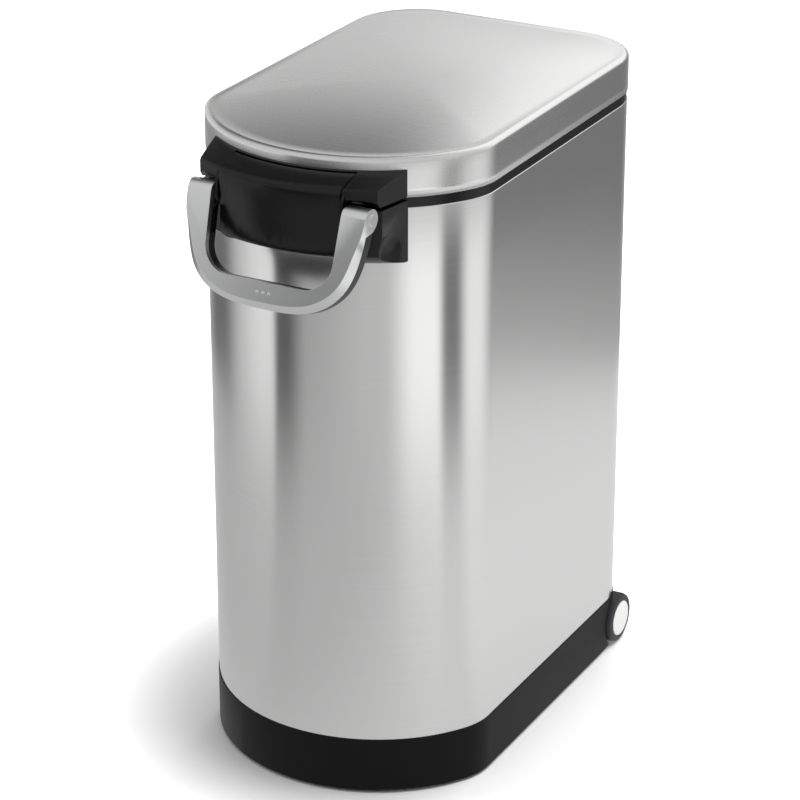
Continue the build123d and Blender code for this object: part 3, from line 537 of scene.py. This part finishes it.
def studio_floor():
    """A wide white floor with a painted glow that rises away from the bin, so that its shade stays close
    round the bin; mirror rays don't see it.
    """
    mesh = bpy.data.meshes.new("studio_floor")
    corners = [(-FLOOR_HALF, -FLOOR_HALF, 0), (FLOOR_HALF, -FLOOR_HALF, 0), (FLOOR_HALF, FLOOR_HALF, 0),
               (-FLOOR_HALF, FLOOR_HALF, 0)]
    mesh.from_pydata(corners, [], [(0, 1, 2, 3)])
    floor = new_object("studio_floor", mesh)
    white = bpy.data.materials.new("studio white")
    white.use_nodes = True
    shader = white.node_tree.nodes["Principled BSDF"]
    shader.inputs["Base Color"].default_value = (0.9, 0.9, 0.9, 1)
    shader.inputs["Roughness"].default_value = 0.9
    shader.inputs["Specular IOR Level"].default_value = 0.0
    shader.inputs["Emission Color"].default_value = (1, 1, 1, 1)
    nodes, links = white.node_tree.nodes, white.node_tree.links
    # Painted light: the floor glows more the further it lies from the bin, which leaves a painted shade
    # close round the bin.
    place = nodes.new("ShaderNodeTexCoord")
    away = nodes.new("ShaderNodeVectorMath")
    away.operation = "LENGTH"
    glow = nodes.new("ShaderNodeMapRange")
    glow.interpolation_type = "SMOOTHSTEP"
    glow.inputs["From Min"].default_value = PAINTED_GLOW_START
    glow.inputs["From Max"].default_value = PAINTED_GLOW_FULL
    glow.inputs["To Max"].default_value = PAINTED_FLOOR_GLOW
    links.new(place.outputs["Object"], away.inputs[0])
    links.new(away.outputs["Value"], glow.inputs["Value"])
    links.new(glow.outputs["Result"], shader.inputs["Emission Strength"])
    mesh.materials.append(white)
    floor.visible_glossy = False


studio_floor()
world = bpy.data.worlds.new("white sky")
world.use_nodes = True
world.node_tree.nodes["Background"].inputs["Color"].default_value = (1, 1, 1, 1)
world.node_tree.nodes["Background"].inputs["Strength"].default_value = SKY
bpy.context.scene.world = world


def sun(name, bearing, height, softness, strength):
    """A soft light from far away, which lights the bin and the floor but isn't mirrored in it.

    The bearing runs from straight in front of the bin towards its right; all angles are in degrees.
    """
    data = bpy.data.lights.new(name, "SUN")
    data.angle = math.radians(softness)
    data.energy = strength
    light = bpy.data.objects.new(name, data)
    bpy.context.collection.objects.link(light)
    light.rotation_euler = (math.radians(90 - height), 0, math.radians(bearing))
    light.visible_glossy = False


sun("key", bearing=140, height=70, softness=50, strength=2.5)

# %% [markdown]
# The tent is a plain grey wall with soft-edged screens and dark flags hung in front of it.
# Bearings run in degrees from straight in front of the bin towards its right, heights in metres.
# What hangs low is mirrored in the can, the next band in the handle, and the highest in the lid. The
# floor gets lighter towards the back right. Nothing changes right behind the bin, so no seam shows.

# %% The reflection tent
TENT_RADIUS = 0.95
TENT_TOP = 2.6
TENT_FOOT = 0.0005
TENT_STEPS = 96
WALL_TONE = 0.40
WALL_START = 0.02
FLOOR_DARK = 0.52
FLOOR_LIGHT = 0.82
FLOOR_HEADING = (1, 1, 0)
FLOOR_REACH = 0.5
AROUND = 200
LOW = (0, 0.30)
MIDDLE = (0.45, 0.75)
HIGH = (0.85, 3)
TOP = (1.1, 3)


def screen(brightness, left, right, heights, left_fade=10, right_fade=10, height_fade=0.1):
    """One screen or flag: full between its edges, and gone a fade further out."""
    return {
        "Brightness": brightness, "Left Out": left - left_fade, "Left In": left,
        "Right Out": right + right_fade, "Right In": right,
        "Foot Out": heights[0] - height_fade, "Foot In": heights[0],
        "Top Out": heights[1] + height_fade, "Top In": heights[1],
    }


SCREENS = {
    "left screen": screen(0.9, -45, -40, LOW, left_fade=40, right_fade=5),
    "front fill": screen(0.6, 30, 60, LOW, left_fade=60),
    "front flag": screen(0.05, -35, -30, LOW, left_fade=5, right_fade=15),
    "right screen": screen(1.2, 50, 62, LOW, left_fade=20, right_fade=6),
    "edge screen": screen(1.0, 80, 100, LOW, right_fade=35),
    "right flag": screen(0.1, 70, 75, LOW, left_fade=6),
    "left flag": screen(0.15, -100, -90, LOW, left_fade=30, right_fade=20),
    "handle screen": screen(0.75, -140, -30, MIDDLE, left_fade=40),
    "handle fill": screen(0.6, 30, 110, MIDDLE, left_fade=30, right_fade=35),
    "handle flag": screen(0.15, -20, -10, MIDDLE, right_fade=35),
    "side flag": screen(0.2, 140, 160, (0.27, 0.75), left_fade=20, right_fade=20, height_fade=0.2),
    "lid fill": screen(0.65, -AROUND, AROUND, HIGH),
    "lid screen": screen(1.15, -AROUND, -172, HIGH, right_fade=35),
    "back screen": screen(1.15, 160, AROUND, HIGH, left_fade=70),
    "lid flag": screen(0.12, -150, -120, TOP, left_fade=15, right_fade=60),
}
EDGES = (("Turn", "Left Out", "Left In"), ("Turn", "Right Out", "Right In"),
         ("Height", "Foot Out", "Foot In"), ("Height", "Top Out", "Top In"))


def screen_group():
    """What the wall shows with one more soft-edged screen in front of it."""
    group = bpy.data.node_groups.new("screen", "ShaderNodeTree")
    face = group.interface
    for name in ("Behind", "Turn", "Height", *SCREENS["left screen"]):
        face.new_socket(name, in_out="INPUT", socket_type="NodeSocketFloat")
    face.new_socket("Level", in_out="OUTPUT", socket_type="NodeSocketFloat")
    nodes, links = group.nodes, group.links
    given = nodes.new("NodeGroupInput")
    result = nodes.new("NodeGroupOutput")
    blend = nodes.new("ShaderNodeMix")
    cover = None
    for source, outside, inside in EDGES:
        edge = nodes.new("ShaderNodeMapRange")
        edge.interpolation_type = "SMOOTHSTEP"
        links.new(given.outputs[source], edge.inputs["Value"])
        links.new(given.outputs[outside], edge.inputs["From Min"])
        links.new(given.outputs[inside], edge.inputs["From Max"])
        if cover:
            both = nodes.new("ShaderNodeMath")
            both.operation = "MULTIPLY"
            links.new(cover, both.inputs[0])
            links.new(edge.outputs["Result"], both.inputs[1])
            cover = both.outputs[0]
        else:
            cover = edge.outputs["Result"]
    links.new(cover, blend.inputs[0])
    links.new(given.outputs["Behind"], blend.inputs[2])
    links.new(given.outputs["Brightness"], blend.inputs[3])
    links.new(blend.outputs[0], result.inputs["Level"])
    return group


def tent_glow():
    """Emission by direction from the bin: a floor, a wall, and the screens in front of the wall."""
    glow = bpy.data.materials.new("tent glow")
    glow.use_nodes = True
    nodes, links = glow.node_tree.nodes, glow.node_tree.links
    nodes.remove(nodes["Principled BSDF"])
    place = nodes.new("ShaderNodeTexCoord")
    split = nodes.new("ShaderNodeSeparateXYZ")
    links.new(place.outputs["Object"], split.inputs[0])
    back = nodes.new("ShaderNodeMath")
    back.operation = "MULTIPLY"
    back.inputs[1].default_value = -1
    links.new(split.outputs["Y"], back.inputs[0])
    angle = nodes.new("ShaderNodeMath")
    angle.operation = "ARCTAN2"
    links.new(split.outputs["X"], angle.inputs[0])
    links.new(back.outputs[0], angle.inputs[1])
    turn = nodes.new("ShaderNodeMath")
    turn.operation = "DEGREES"
    links.new(angle.outputs[0], turn.inputs[0])
    aside = nodes.new("ShaderNodeVectorMath")
    aside.operation = "DOT_PRODUCT"
    aside.inputs[1].default_value = FLOOR_HEADING
    links.new(place.outputs["Object"], aside.inputs[0])
    ground = nodes.new("ShaderNodeMapRange")
    ground.inputs["From Min"].default_value = -FLOOR_REACH
    ground.inputs["From Max"].default_value = FLOOR_REACH
    ground.inputs["To Min"].default_value = FLOOR_DARK
    ground.inputs["To Max"].default_value = FLOOR_LIGHT
    links.new(aside.outputs["Value"], ground.inputs["Value"])
    wall = nodes.new("ShaderNodeValue")
    wall.outputs[0].default_value = WALL_TONE
    level = wall.outputs[0]
    group = screen_group()
    for name, values in SCREENS.items():
        hung = nodes.new("ShaderNodeGroup")
        hung.node_tree = group
        hung.label = name
        for socket, value in values.items():
            hung.inputs[socket].default_value = value
        links.new(level, hung.inputs["Behind"])
        links.new(turn.outputs[0], hung.inputs["Turn"])
        links.new(split.outputs["Z"], hung.inputs["Height"])
        level = hung.outputs["Level"]
    rise = nodes.new("ShaderNodeMapRange")
    rise.inputs["From Max"].default_value = WALL_START
    links.new(split.outputs["Z"], rise.inputs["Value"])
    blend = nodes.new("ShaderNodeMix")
    links.new(rise.outputs["Result"], blend.inputs[0])
    links.new(ground.outputs["Result"], blend.inputs[2])
    links.new(level, blend.inputs[3])
    shine = nodes.new("ShaderNodeEmission")
    links.new(blend.outputs[0], shine.inputs["Strength"])
    links.new(shine.outputs[0], nodes["Material Output"].inputs["Surface"])
    return glow


def tent():
    """A round screen and its floor, seen only in reflections."""
    turns = [2 * math.pi * step / TENT_STEPS for step in range(TENT_STEPS)]
    circle = [(TENT_RADIUS * math.cos(turn), TENT_RADIUS * math.sin(turn)) for turn in turns]
    rings = [[(x, y, height) for x, y in circle] for height in (TENT_TOP, TENT_FOOT)]
    screen = loft("reflection_tent", rings, pole=(0, 0, TENT_FOOT))
    screen.data.materials.append(tent_glow())
    screen.visible_camera = False
    screen.visible_diffuse = False
    screen.visible_shadow = False
    screen.visible_transmission = False


tent()

# %% Camera
SENSOR_WIDTH = 36
LENS = 140.71
CAMERA_DOWN = 23.707
CAMERA_BEARING = 28.169
CAMERA_PLACE = (1.3124, -2.4737 + middle_y, 1.5441)
camera_data = bpy.data.cameras.new("camera")
camera_data.sensor_width = SENSOR_WIDTH
camera_data.lens = LENS
camera = bpy.data.objects.new("camera", camera_data)
bpy.context.collection.objects.link(camera)
camera.location = CAMERA_PLACE
camera.rotation_euler = (math.radians(90 - CAMERA_DOWN), 0, math.radians(CAMERA_BEARING))
bpy.context.scene.camera = camera
bpy.context.scene.view_settings.view_transform = "Standard"
